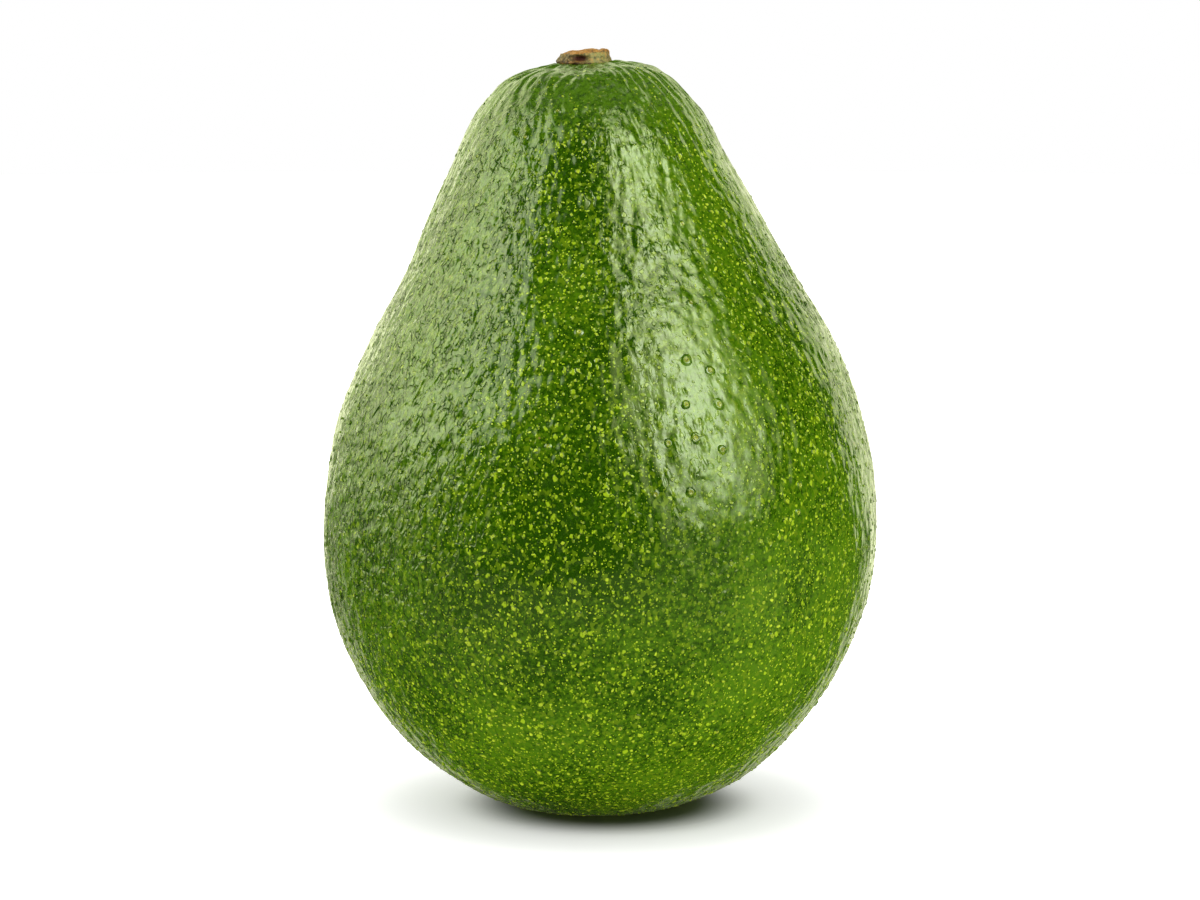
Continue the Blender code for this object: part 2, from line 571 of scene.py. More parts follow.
        # Painted light and shade, with random patches, which the finishes read for colour.
        shade = self.painted_light_map(random, smooth)
        calm = self.calm_map(smooth)
        marks = {
            Mark.WRINKLE: wrinkled,
            Mark.PAINTED_LIGHT_AND_PATCHES: shade,
            Mark.CROWN: np.repeat(ease(height, *self.crown_rise), self.columns, axis=1),
            Mark.CALM: calm,
        }
        swell, dent, ridges, pebble = (
            depth * smooth.noise(random, across, along)
            for across, along, depth in (self.swell, self.dent, self.wrinkle, self.pebble)
        )
        fine = wrinkled * (1.0 - 0.8 * calm) * (ridges - 0.5 * np.abs(ridges)) + pebble
        across, along, depth = self.crown_groove
        grooves = depth * smooth.noise(random, across, along, self.crown_turns)
        bare = 0.92 * self.patch(*self.bare_crown) * (1.0 - 0.6 * ease(height, *self.bare_crown_end))
        crown = ease(height, self.crown_start, self.form.seat_height - self.crown_clear) * (1.0 - bare)
        level, span, drop = self.crown_settle
        depths = (swell + dent + fine) * (1.0 - 0.5 * crown) + grooves * crown
        depths = depths - drop * bell(height, level, span)
        foot = ease(reach - self.form.foot_radius, *self.foot_fade)
        under_stub = 1.0 - ease(reach, *(reach[-1] - short for short in self.stub_fade))
        depths = depths * (foot * under_stub)[:, None]
        points = smooth.points + smooth.frames()[2] * depths[..., None]
        neck = ease(height, *self.neck_rise) * (1.0 - ease(height, *self.neck_end))
        points[..., 0] += self.neck_shift * neck
        return Surface(points, reach, smooth.height, smooth.radius, marks)

    def build(self, surface: Surface, scale: float) -> bpy.types.Object:
        """Make the skin's mesh.

        Args:
            surface: the skin on its grid.
            scale: how much larger the frame's fruit is than the form.

        Returns:
            The skin's object, standing for the CAD fruit.
        """
        faces, bake_map = closed_grid(self.rows, self.columns)
        marks = {mark: with_poles(values) for mark, values in surface.marks.items()}
        piece = write_mesh("rind", with_poles(surface.points) * scale, faces, marks, bake_map)
        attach(piece, "root")
        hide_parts("fruit")
        return piece


# ---------------------------------------------------------------- the lenticels


@dataclass(frozen=True)
class SpotShape:
    """One sort of lenticel: how many there are, how large, and the profile of its dome.

    Each row of the profile is a ring, from the sunk outer one inwards: its radius and its
    lift as shares of the lenticel's radius and height, how corky it is, and how far it is
    down in the pit. The last row is the point in the middle. Lenticels of a sort that
    flattens lose up to that share of their height where the skin isn't calm.
    """

    kind: SpotKind
    tries: int
    sides: int
    radius: Pair
    height: Pair
    profile: Profile
    apart: float
    stretch: float
    wobble: float
    flattens: float = 0.0


RING_SHAPE = SpotShape(
    kind=SpotKind.RING,
    tries=56,
    sides=12,
    radius=(0.38, 0.50),
    height=(0.17, 0.24),
    profile=(
        (1.95, -0.30, 0.0, 0.0),
        (1.60, 0.05, 0.0, 0.0),
        (1.15, 0.62, 0.0, 0.0),
        (0.80, 0.96, 0.25, 0.0),
        (0.58, 1.0, 0.95, 0.0),
        (0.34, 0.86, 1.0, 0.20),
        (0.16, 0.60, 0.9, 0.85),
        (0.0, 0.50, 0.7, 1.0),
    ),
    apart=2.8,
    stretch=0.15,
    wobble=0.04,
)
KNOB_SHAPE = SpotShape(
    kind=SpotKind.KNOB,
    tries=3100,
    sides=6,
    radius=(0.14, 0.34),
    height=(0.07, 0.13),
    profile=(
        (1.55, -0.30, 0.0, 0.0),
        (1.15, 0.35, 0.1, 0.0),
        (0.75, 0.92, 0.85, 0.0),
        (0.36, 1.0, 1.0, 0.15),
        (0.0, 0.78, 0.85, 0.60),
    ),
    apart=1.0,
    stretch=0.7,
    wobble=0.27,
)
DOME_SHAPE = SpotShape(
    kind=SpotKind.DOME,
    tries=8000,
    sides=6,
    radius=(0.14, 0.30),
    height=(0.04, 0.09),
    profile=(
        (1.15, -0.5, 0.0, 0.0),
        (0.88, 0.45, 0.6, 0.0),
        (0.50, 0.95, 1.0, 0.0),
        (0.0, 1.0, 1.0, 0.1),
    ),
    apart=0.58,
    stretch=1.2,
    wobble=0.24,
    flattens=0.5,
)
FLECK_SHAPE = SpotShape(
    kind=SpotKind.FLECK,
    tries=14500,
    sides=5,
    radius=(0.08, 0.17),
    height=(0.010, 0.024),
    profile=(
        (1.15, -0.6, 0.1, 0.0),
        (0.80, 0.6, 0.9, 0.0),
        (0.0, 1.0, 1.0, 0.0),
    ),
    apart=0.32,
    stretch=0.9,
    wobble=0.22,
    flattens=0.5,
)


@dataclass
class Lenticels:
    """The corky pores of the rind, scattered over it in four sizes.

    The rings that are listed one by one are given by their degrees to the right of the front
    and their heights.
    """

    rind: Rind
    smooth: Surface
    shapes: tuple[SpotShape, ...] = (RING_SHAPE, KNOB_SHAPE, DOME_SHAPE, FLECK_SHAPE)
    large_by_hand: Stations = (
        (20.4, 65.2), (26.0, 63.8), (18.9, 59.7), (26.7, 59.5), (20.2, 55.5), (26.0, 53.8),
        (14.2, 55.0), (18.3, 48.7), (11.0, 48.6),
    )
    hand_apart: float = 3.4
    scattered_ring: float = 0.74
    foot_clear: float = 10.0
    crown_clear: float = 8.5
    seed: int = 29

    def scatter(self) -> dict[SpotKind, tuple[Array, Array]]:
        """Scatter the lenticels so that none lies on another.

        Places are drawn evenly over the skin's area, the largest sort first. A place is
        dropped where an earlier one lies nearer than the two sorts keep apart.

        Returns:
            For each sort, the row and column of each lenticel on the grid.
        """
        random = np.random.default_rng(self.seed)
        area = np.cumsum(self.smooth.radius)
        area = area / area[-1]
        hand = np.array(self.large_by_hand)
        last = int(np.argmax(self.smooth.height))
        hand_row = np.interp(hand[:, 1], self.smooth.height[:last], np.arange(last))
        hand_column = (hand[:, 0] + FRONT) % FULL_TURN / FULL_TURN * self.rind.columns
        rows, columns, kinds = [hand_row], [hand_column], [np.zeros(len(hand), int)]
        gaps = [np.full(len(hand), self.hand_apart)]
        for index, shape in enumerate(self.shapes):
            rows.append(np.interp(random.random(shape.tries), area, np.arange(area.size)))
            columns.append(random.random(shape.tries) * self.rind.columns)
            kinds.append(np.full(shape.tries, index))
            gaps.append(np.full(shape.tries, shape.apart))
        row, column, kind, gap = (np.concatenate(part) for part in (rows, columns, kinds, gaps))
        reach = np.interp(row, np.arange(self.smooth.reach.size), self.smooth.reach)
        kept = (reach > self.foot_clear) & (reach < self.smooth.reach[-1] - self.crown_clear)
        place = self.smooth.sample(self.smooth.points, row, column)
        kept &= ~self.crowded(place, gap)
        kept[:len(hand)] = True
        return {
            shape.kind: (row[kept & (kind == index)], column[kept & (kind == index)])
            for index, shape in enumerate(self.shapes)
        }

    @staticmethod
    def crowded(place: Array, gap: Array, block: int = 500) -> NDArray[np.bool_]:
        """Find the places that have an earlier one too near.

        Args:
            place: the places, in the order in which they count.
            gap: how far each keeps from others, of which a pair adds the two halves.
            block: places compared at once, which bounds the memory.

        Returns:
            True for each place that is dropped.
        """
        dropped = np.zeros(len(place), dtype=bool)
        for first in range(0, len(place), block):
            some = slice(first, first + block)
            near = np.linalg.norm(place[some, None] - place[None, :first + block], axis=-1)
            reach = (gap[some, None] + gap[None, :first + block]) * 0.5
            here = np.arange(first, first + near.shape[0])
            earlier = here[:, None] > np.arange(near.shape[1])[None, :]
            dropped[some] = ((near < reach) & earlier).any(axis=1)
        return dropped

    def build(
        self, shape: SpotShape, surface: Surface, row: Array, column: Array, scale: float
    ) -> bpy.types.Object:
        """Make one sort of lenticel.

        Each lenticel is its profile turned about the skin's normal and drawn out in a
        direction of its own, with every side of it moved in or out a little. Its outer
        ring is sunk in the skin, and its underside is closed. Rings that are scattered are
        smaller than those that are listed.

        Args:
            shape: the sort of lenticel.
            surface: the finished skin that they stand on.
            row: row of each lenticel on the grid.
            column: column of each lenticel on the grid.
            scale: how much larger the frame's fruit is than the form.

        Returns:
            One object that holds them all.
        """
        random = np.random.default_rng(self.seed + shape.sides)
        count = row.size
        across, along, out = (surface.sample(grid, row, column) for grid in surface.frames())
        centre = surface.sample(surface.points, row, column)
        radius = shape.radius[0] + (shape.radius[1] - shape.radius[0]) * random.random(count) ** 2.0
        height = shape.height[0] + (shape.height[1] - shape.height[0]) * random.random(count)
        if shape.kind is SpotKind.RING:
            by_hand = len(self.large_by_hand)
            radius[by_hand:] *= self.scattered_ring
            height[by_hand:] *= self.scattered_ring
        skin = {
            mark: surface.sample(grid[..., None], row, column)[:, 0]
            for mark, grid in surface.marks.items()
        }
        height = height * (1.0 - shape.flattens + shape.flattens * np.sqrt(skin[Mark.CALM]))
        long_way = random.random((count, 1)) * np.pi
        stretch = 1.0 + shape.stretch * random.random((count, 1)) ** 2
        turn = ring_angles(shape.sides) + random.random((count, 1)) * np.pi
        side = (1.0 + shape.wobble * random.standard_normal((count, shape.sides))) / np.sqrt(stretch)
        far = side * stretch * np.cos(turn)
        near = side * np.sin(turn)
        over = far * np.cos(long_way) - near * np.sin(long_way)
        up = far * np.sin(long_way) + near * np.cos(long_way)
        wide, high, cork, pit = np.array(shape.profile).T
        spread = radius[:, None, None] * wide[:-1, None]
        lift = height[:, None, None] * high[:-1, None]
        ring_points = (
            centre[:, None, None]
            + across[:, None, None] * (spread * over[:, None, :])[..., None]
            + along[:, None, None] * (spread * up[:, None, :])[..., None]
            + out[:, None, None] * lift[..., None]
        )
        under, top = (centre + out * (height * high[end])[:, None] for end in (0, -1))
        points = [under[:, None], ring_points.reshape(count, -1, 3), top[:, None]]
        points = np.concatenate(points, axis=1)
        faces, bake_map = self.faces(shape, count)
        corners = points.shape[1]
        marks = {mark: np.repeat(values, corners) for mark, values in skin.items()}
        for mark, share in ((Mark.CORK, cork), (Mark.PIT, pit)):
            own = np.concatenate([[0.0], np.repeat(share[:-1], shape.sides), share[-1:]])
            marks[mark] = np.tile(own, count)
        marks[Mark.TONE] = np.repeat(random.random(count), corners)
        fan = count * shape.sides
        underside = slice(len(faces) - 2 * fan, len(faces) - fan)
        points = points.reshape(-1, 3) * scale
        piece = write_mesh(shape.kind.value, points, faces, marks, bake_map, underside)
        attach(piece, "root")
        return piece

    @staticmethod
    def faces(shape: SpotShape, count: int) -> tuple[list[list[int]], Array]:
        """List the faces of all the lenticels of one sort.

        Each lenticel has a square of its own on the flat map, with its top in the middle
        and its outer ring near the edge. Its hidden underside takes no room there.

        Args:
            shape: the sort of lenticel.
            count: how many there are.

        Returns:
            The faces, and the place of each of their corners on the flat map.
        """
        rings = len(shape.profile) - 1
        sides = np.arange(shape.sides)
        ring = np.arange(rings - 1)[:, None]
        here = 1 + ring * shape.sides + sides
        beside = 1 + ring * shape.sides + (sides + 1) % shape.sides
        quads = np.stack([here, beside, beside + shape.sides, here + shape.sides], axis=-1)
        quads = quads.reshape(-1, 4)
        top_ring = 1 + (rings - 1) * shape.sides
        top = rings * shape.sides + 1
        under_fan = np.stack([np.zeros_like(sides), 1 + (sides + 1) % shape.sides, 1 + sides], axis=-1)
        top_next = top_ring + (sides + 1) % shape.sides
        top_fan = np.stack([top_ring + sides, top_next, np.full(shape.sides, top)], axis=-1)
        corners = top + 1
        start = np.arange(count)[:, None, None] * corners
        faces = (quads[None] + start).reshape(-1, 4).tolist()
        faces += (under_fan[None] + start).reshape(-1, 3).tolist()
        faces += (top_fan[None] + start).reshape(-1, 3).tolist()
        cells = int(np.ceil(np.sqrt(count)))
        turn = ring_angles(shape.sides)
        share = HALF_CELL * np.array(shape.profile)[:-1, :1] / shape.profile[0][0]
        flat = np.stack([share * np.cos(turn), share * np.sin(turn)], axis=-1).reshape(-1, 2)
        flat = np.vstack([[0.0, 0.0], flat, [0.0, 0.0]])
        middle = np.stack([np.arange(count) % cells, np.arange(count) // cells], axis=-1) + 0.5
        under_map = flat[under_fan[:, [1, 1, 2]]]
        parts = (flat[quads].reshape(-1, 2), under_map.reshape(-1, 2), flat[top_fan].reshape(-1, 2))
        bake_map = np.vstack([(part[None] + middle[:, None]).reshape(-1, 2) for part in parts]) / cells
        return faces, bake_map


# ---------------------------------------------------------------- the stalk stub


@dataclass
class StalkStub:
    """The dry stub of the stalk: a flared button with a curled rim and a shallow hollow."""

    form: FruitForm
    rows: int = 96
    columns: int = 176
    outline: Stations = (
        (-0.45, 2.6), (-0.40, 3.5), (-0.05, 3.82), (0.25, 3.66), (0.65, 3.40), (1.05, 3.20),
        (1.42, 3.04), (1.70, 2.80), (1.86, 2.45), (1.86, 2.10), (1.72, 1.80), (1.50, 1.40),
        (1.38, 0.90), (1.32, 0.40), (1.30, 0.0),
    )
    recess: Pair = (-102.0, np.radians(18.0))
    recess_depth: float = 0.75
    moss: Pair = (-58.0, np.radians(32.0))
    girth: float = 3.2
    hollow_rise: Pair = (7.6, 8.6)
    oval: tuple[Triple, ...] = ((0.035, 2.0, 0.6), (0.022, 3.0, -1.1))
    crest: tuple[Triple, ...] = ((0.07, 2.0, 2.4), (0.05, 5.0, 0.0))
    crest_drop: float = 0.22
    fibre_depth: float = 0.030
    lump_depth: float = 0.060
    lump_rise: float = 0.035
    top_slope: float = 0.15
    sink: float = 0.15
    seed: int = 5

    @staticmethod
    def waves(angle: Array, parts: tuple[Triple, ...]) -> Array:
        """Add up waves round the stub, each from its height, its lobes and its phase."""
        return sum(high * np.cos(lobes * angle + phase) for high, lobes, phase in parts)

    def surface(self) -> tuple[Array, dict[Mark, Array]]:
        """Work out the stub.

        Its outline is turned about the seat's axis. The section is made uneven by two low
        waves, the rim rises and falls, a recess is pressed into the side under the rim,
        and fine fibres run down the side and in towards the hollow.

        Returns:
            Its points on a grid whose first and last rows are poles, and the marks that
            say where its rim, its hollow and its green patch are.
        """
        random = np.random.default_rng(self.seed)
        low, foot = self.outline[0]
        base = np.array([[low, 0.0], [low, foot - 0.001]])
        picked, reach = evenly_spaced(np.vstack([base, smooth_curve(self.outline)]), self.rows + 2)
        height, radius = picked[:, :1], picked[:, 1:]
        angle = ring_angles(self.columns)[None, :]
        (recess_bearing, recess_width), (moss_bearing, moss_width) = self.recess, self.moss
        inside = ease(reach, *self.hollow_rise)[:, None]
        side = ease(height, 0.05, 0.25) * (1.0 - ease(height, 1.35, 1.7)) * (1.0 - inside)
        recess = bell(turned_from(angle, recess_bearing), 0.0, recess_width)
        recess = recess * bell(height, 0.60, 0.40) * side
        girth = np.full(reach.size, self.girth)
        fibre = meridian_noise(random, girth, reach, self.columns, 0.55, 3.0)
        lump = meridian_noise(random, girth, reach, self.columns, 2.2, 1.8)
        above_skin = ease(height, -0.1, 0.2)
        wide = radius * (1.0 + self.waves(angle, self.oval)) - self.recess_depth * recess
        uneven = self.fibre_depth * fibre + self.lump_depth * lump
        wide = wide + uneven * above_skin * np.minimum(1.0, radius)
        rise = ease(height, 0.9, 1.8)
        crest = self.waves(angle, self.crest) + self.lump_rise * lump
        tall = height + rise * (crest - self.crest_drop) * np.minimum(1.0, radius)
        x = wide * np.cos(angle)
        y = wide * np.sin(angle)
        z = tall + self.top_slope * x * rise
        marks = {
            Mark.RIM: ease(height + 0.12 * lump + 0.08 * fibre, 1.2, 1.75) * (1.0 - 0.85 * inside),
            Mark.HOLLOW: np.clip(1.6 * recess + inside, 0.0, 1.0),
            Mark.MOSS: (bell(turned_from(angle, moss_bearing), 0.0, moss_width) + 0.25) * side,
        }
        return np.stack([x, y, z], axis=-1), marks

    def build(self, scale: float) -> bpy.types.Object:
        """Make the stub's mesh and stand it in the sloping seat at the crown.

        Args:
            scale: how much larger the frame's fruit is than the form.

        Returns:
            The stub's object, standing for the CAD stub.
        """
        grid, marks = self.surface()
        centre = self.form.place(np.array(self.form.seat_height), np.array(0.0), np.array(0.0))
        rise, run = np.sin(self.form.crown_slope), np.cos(self.form.crown_slope)
        tilt = np.array([[run, 0.0, -rise], [0.0, 1.0, 0.0], [rise, 0.0, run]])
        points = (with_poles(grid) @ tilt + centre - np.array([0.0, 0.0, self.sink])) * scale
        faces, bake_map = closed_grid(self.rows, self.columns)
        flat_marks = {mark: with_poles(values) for mark, values in marks.items()}
        piece = write_mesh("stalk_stub", points, faces, flat_marks, bake_map)
        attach(piece, "root")
        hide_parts("stem_stub")
        return piece


# ---------------------------------------------------------------- finishes


@dataclass(frozen=True)
class Grain:
    """Soft noise: its cells to a millimetre, its detail and roughness, and its pace upwards."""

    per_millimetre: float
    detail: float = 2.0
    roughness: float = 0.5
    upwards: float = 1.0


@dataclass(frozen=True)
class Dots:
    """Round dots, one at most in each cell.

    They are given by their cells to a millimetre, the radius of the smallest and of the
    largest in cells, the share of the cells that hold one, the pace of the cells
    upwards, and how the cells are pushed about: waves to a cell, and how far.
    """

    per_millimetre: float
    smallest: float
    largest: float
    present: float
    upwards: float = 1.0
    warp: Pair = (0.0, 0.0)
    fade_from: float = 0.55


class NodeSheet:
    """Adds nodes to one tree and joins them, so that a finish reads as a list of steps."""

    def __init__(self, tree: bpy.types.NodeTree) -> None:
        """Start on an empty tree."""
        self.tree = tree
        self.tree.nodes.clear()

    def node(
        self, kind: str, sockets: dict[str | int, object] | None = None, **settings: object
    ) -> Node:
        """Add a node.

        Args:
            kind: the sort of node.
            sockets: what goes into its inputs, by their names or places: a socket that is
                joined to it, or a plain value.
            settings: its own properties.

        Returns:
            The new node.
        """
        made = self.tree.nodes.new(kind)
        for name, value in settings.items():
            setattr(made, name, value)
        for name, value in (sockets or {}).items():
            if isinstance(value, Socket):
                self.tree.links.new(value, made.inputs[name])
            else:
                made.inputs[name].default_value = value
        return made

    def place(self, per_millimetre: float, upwards: float = 1.0) -> Socket:
        """Give the object's own coordinates in cells, from how many there are to a millimetre."""
        source = self.node("ShaderNodeTexCoord").outputs["Object"]
        cells = tuple(per_millimetre * share / MM for share in (1.0, 1.0, upwards))
        return self.vectors("MULTIPLY", source, cells).outputs["Vector"]

    def vectors(self, operation: str, *given: object) -> Node:
        """Add a Vector Math node of that operation on what is given, in turn."""
        return self.node("ShaderNodeVectorMath", dict(enumerate(given)), operation=operation)

    def sums(self, operation: str, *given: object) -> Socket:
        """Add a Math node of that operation on what is given, in turn."""
        return self.node("ShaderNodeMath", dict(enumerate(given)), operation=operation).outputs[0]

    def times(self, *parts: object) -> Socket:
        """Multiply values by each other."""
        return reduce(lambda product, part: self.sums("MULTIPLY", product, part), parts)

    def weigh(self, *parts: tuple[Socket, float]) -> Socket:
        """Add up values, each one times its own weight."""
        return reduce(lambda total, part: self.sums("MULTIPLY_ADD", *part, total), parts, 0.0)

    def split(self, vector: Socket) -> bpy.types.bpy_prop_collection:
        """Take coordinates apart into X, Y and Z."""
        return self.node("ShaderNodeSeparateXYZ", {0: vector}).outputs

    def mark(self, mark: Mark) -> Socket:
        """Read one of the mesh's number attributes."""
        return self.node("ShaderNodeAttribute", attribute_name=mark.value).outputs["Fac"]

    def grain(self, grain: Grain) -> Socket:
        """Add soft noise over the piece."""
        vector = self.place(grain.per_millimetre, grain.upwards)
        sockets = {"Vector": vector, "Scale": 1.0, "Detail": grain.detail, "Roughness": grain.roughness}
        return self.node("ShaderNodeTexNoise", sockets).outputs[0]

    def cells(self, vector: Socket, feature: str = "F1") -> Node:
        """Add Voronoi cells on the coordinates, of one cell to a unit."""
        return self.node("ShaderNodeTexVoronoi", {"Vector": vector, "Scale": 1.0}, feature=feature)

    def luck(self, cell: Node) -> bpy.types.bpy_prop_collection:
        """Give three random numbers for each cell."""
        return self.node("ShaderNodeSeparateColor", {0: cell.outputs["Color"]}).outputs

    def remap(
        self, value: Socket, low: float, high: float, to_low: float = 0.0, to_high: float = 1.0
    ) -> Socket:
        """Turn the stretch of values from low to high into an eased ramp between two others."""
        sockets = dict(enumerate((value, low, high, to_low, to_high)))
        return self.node("ShaderNodeMapRange", sockets, interpolation_type="SMOOTHSTEP").outputs[0]

    def layered(self, base: object, *layers: tuple[object, object]) -> Socket:
        """Lay colours over a base in turn, each by its own share."""
        for share, colour in layers:
            sockets = {0: share, 6: base, 7: colour}
            base = self.node("ShaderNodeMix", sockets, data_type="RGBA").outputs[2]
        return base

    def dots(self, dots: Dots) -> Socket:
        """Draw round dots as a mask.

        Args:
            dots: their sizes and how close they stand.

        Returns:
            1 in the middle of a dot and 0 outside it.
        """
        vector = self.place(dots.per_millimetre, dots.upwards)
        pace, amount = dots.warp
        if amount > 0.0:
            push = self.node("ShaderNodeTexNoise", {"Vector": vector, "Scale": pace, "Detail": 1.0})
            pushed = self.vectors("MULTIPLY_ADD", push.outputs["Color"], (amount,) * 3, vector)
            vector = pushed.outputs["Vector"]
        cell = self.cells(vector)
        luck = self.luck(cell)
        radius = self.sums("MULTIPLY_ADD", luck[0], dots.largest - dots.smallest, dots.smallest)
        edge = self.sums("DIVIDE", cell.outputs["Distance"], radius)
        disc = self.remap(edge, dots.fade_from, 1.0, 1.0, 0.0)
        return self.times(disc, self.sums("LESS_THAN", luck[1], dots.present))

    def bump(self, height: Socket, depth: float) -> Socket:
        """Turn a height from 0 to 1 into a normal, for a relief of that depth."""
        return self.node("ShaderNodeBump", {"Distance": depth * MM, "Height": height}).outputs["Normal"]

    def either(self, share: Socket, first: Node, second: Node) -> Node:
        """Choose the second of two shaders where the share is 1."""
        return self.node("ShaderNodeMixShader", {0: share, 1: first.outputs[0], 2: second.outputs[0]})

    def surface(self, shader: Node, output: str = "ShaderNodeOutputMaterial") -> None:
        """Make a shader what the tree puts out."""
        self.node(output, {"Surface": shader.outputs[0]})


def new_material(name: str) -> tuple[bpy.types.Material, NodeSheet]:
    """Start a material, on an empty sheet."""
    material = bpy.data.materials.new(name)
    material.use_nodes = True
    return material, NodeSheet(material.node_tree)


@dataclass(frozen=True)
class Masks:
    """Where each thing of the rind's pattern is: 1 on it and 0 off it."""

    wrinkled: Socket
    calm: Socket
    crown: Socket
    plain: Socket
    flecks: Socket
    buttons: Socket
    pores: Socket
    cracked: Socket
    welts: Socket
    threads: Socket
    scaly: Socket
    sunk: Socket
    fine: Socket


@dataclass(frozen=True)
class RindPattern:
    """The colour and fine relief that the rind shares with the skirts of its lenticels.

    Colours are albedos, and depths are in millimetres. A ramp is the values where it
    starts and ends, and what it runs from and to. Strokes are their cells to a
    millimetre, and the pace of the cells upwards.
    """

    name: str = "rind_pattern"
    deep: Colour = (0.009, 0.034, 0.0003, 1.0)
    bright: Colour = (0.044, 0.104, 0.0015, 1.0)
    fleck: Colour = (0.260, 0.370, 0.009, 1.0)
    blot: Colour = (0.080, 0.135, 0.003, 1.0)
    cork: Colour = (0.150, 0.110, 0.030, 1.0)
    pore: Colour = (0.012, 0.020, 0.002, 1.0)
    patches: Grain = Grain(0.11, 3.0)
    mottle: Grain = Grain(0.85, 3.0, 0.6)
    speckle: Grain = Grain(1.9, 2.0, 0.6)
    blots: Grain = Grain(1.5, 1.0, 0.6, 0.8)
    clusters: Grain = Grain(0.3)
    soft: Grain = Grain(0.36, 0.0, 0.5, 0.6)
    plate: Grain = Grain(0.6, 1.0, 0.5, 0.5)
    leather: Grain = Grain(1.15, 1.0, 0.5, 0.5)
    fine: Grain = Grain(3.0, 1.0, 0.6)
    crack: Grain = Grain(0.9, 1.0, 0.5, 0.48)
    crack_breaks: Grain = Grain(0.5)
    large_flecks: Dots = Dots(1.35, 0.10, 0.27, 0.8, 0.8, (2.0, 0.5))
    small_flecks: Dots = Dots(2.2, 0.12, 0.32, 0.7, 1.0, (1.5, 0.5))
    buttons: Dots = Dots(0.9, 0.12, 0.36, 0.85, 0.8, (2.2, 0.7))
    corky: Dots = Dots(0.23, 0.03, 0.075, 0.35)
    pores: Dots = Dots(1.3, 0.05, 0.10, 0.45)
    welts: Pair = (0.44, 0.5)
    threads: Pair = (0.68, 0.55)
    splinters: Pair = (1.1, 0.6)
    stroke_size: Triple = (0.25, 0.48, 0.52)
    stroke_lean: Ramp = (-22.0, 22.0, -0.55, 0.55)
    stroke_fade: Ramp = (0.40, 1.0, 1.0, 0.0)
    raised_strokes: Pair = (0.45, 0.70)
    sunk_strokes: Ramp = (0.20, 0.35, 1.0, 0.0)
    pebble_cells: Pair = (0.62, 0.6)
    pebble_merge: float = 0.35
    pebble_fade: Ramp = (0.0, 0.75, 1.0, 0.0)
    tone_ramp: Pair = (0.58, 0.98)
    blot_ramp: Pair = (0.555, 0.625)
    plate_ramp: Pair = (0.42, 0.58)
    crack_gaps: Pair = (0.42, 0.55)
    cracked_by_wrinkle: Pair = (0.05, 0.75)
    rugged_by_cluster: Ramp = (0.66, 0.92, 0.15, 1.0)
    scaly_by_calm: Ramp = (0.0, 0.9, 1.0, 0.03)
    # Flecks and buttons are painted duller where highlights fall, as painted light and shade.
    spots_painted_by_calm: Ramp = (0.15, 0.60, 0.4, 1.0)
    streaky_by_wrinkle: Ramp = (0.25, 0.60, 0.15, 1.0)
    sunk_edge: Ramp = (-0.75, -0.3, 1.0, 0.0)
    # Painted shade in the cracks.
    painted_crack_shade: Ramp = (0.3, 1.0, 0.0, 0.8)
    fine_roughness: Ramp = (0.3, 0.7, 0.08, 0.13)
    soft_depth: float = 0.10
    plate_depth: float = 0.022
    welt_depth: float = 0.17
    thread_depth: float = 0.12
    splinter_depth: float = 0.045
    leather_depth: float = 0.28
    crack_depth: float = 0.17
    crack_half_width: float = 0.078
    pebble_depth: float = 0.06
    wrinkled_pebble_depth: float = 0.06
    fine_depth: float = 0.007
    fleck_depth: float = 0.008
    button_depth: float = 0.03
    pore_depth: float = 0.04

    def group(self) -> bpy.types.NodeTree:
        """Build the pattern once as a node group, and give it back after that.

        Returns:
            A group with the colours Deep, Bright and Fleck as its inputs, and Colour,
            Height in millimetres and Roughness as its outputs.
        """
        if self.name in bpy.data.node_groups:
            return bpy.data.node_groups[self.name]
        tree = bpy.data.node_groups.new(self.name, "ShaderNodeTree")
        for name, value in (("Deep", self.deep), ("Bright", self.bright), ("Fleck", self.fleck)):
            socket = tree.interface.new_socket(name=name, in_out="INPUT", socket_type="NodeSocketColor")
            socket.default_value = value
        for name, kind in (("Colour", "Color"), ("Height", "Float"), ("Roughness", "Float")):
            tree.interface.new_socket(name=name, in_out="OUTPUT", socket_type=f"NodeSocket{kind}")
        sheet = NodeSheet(tree)
        given = sheet.node("NodeGroupInput").outputs
        masks = self.masks(sheet)
        rough = sheet.weigh(
            (masks.cracked, 0.12),
            (masks.sunk, 0.10),
            (masks.crown, 0.13),
            (sheet.remap(masks.fine, *self.fine_roughness), 1.0),
        )
        colour = self.colour(sheet, masks, given["Deep"], given["Bright"], given["Fleck"])
        height = self.height(sheet, masks)
        sheet.node("NodeGroupOutput", {"Colour": colour, "Height": height, "Roughness": rough})
        return tree

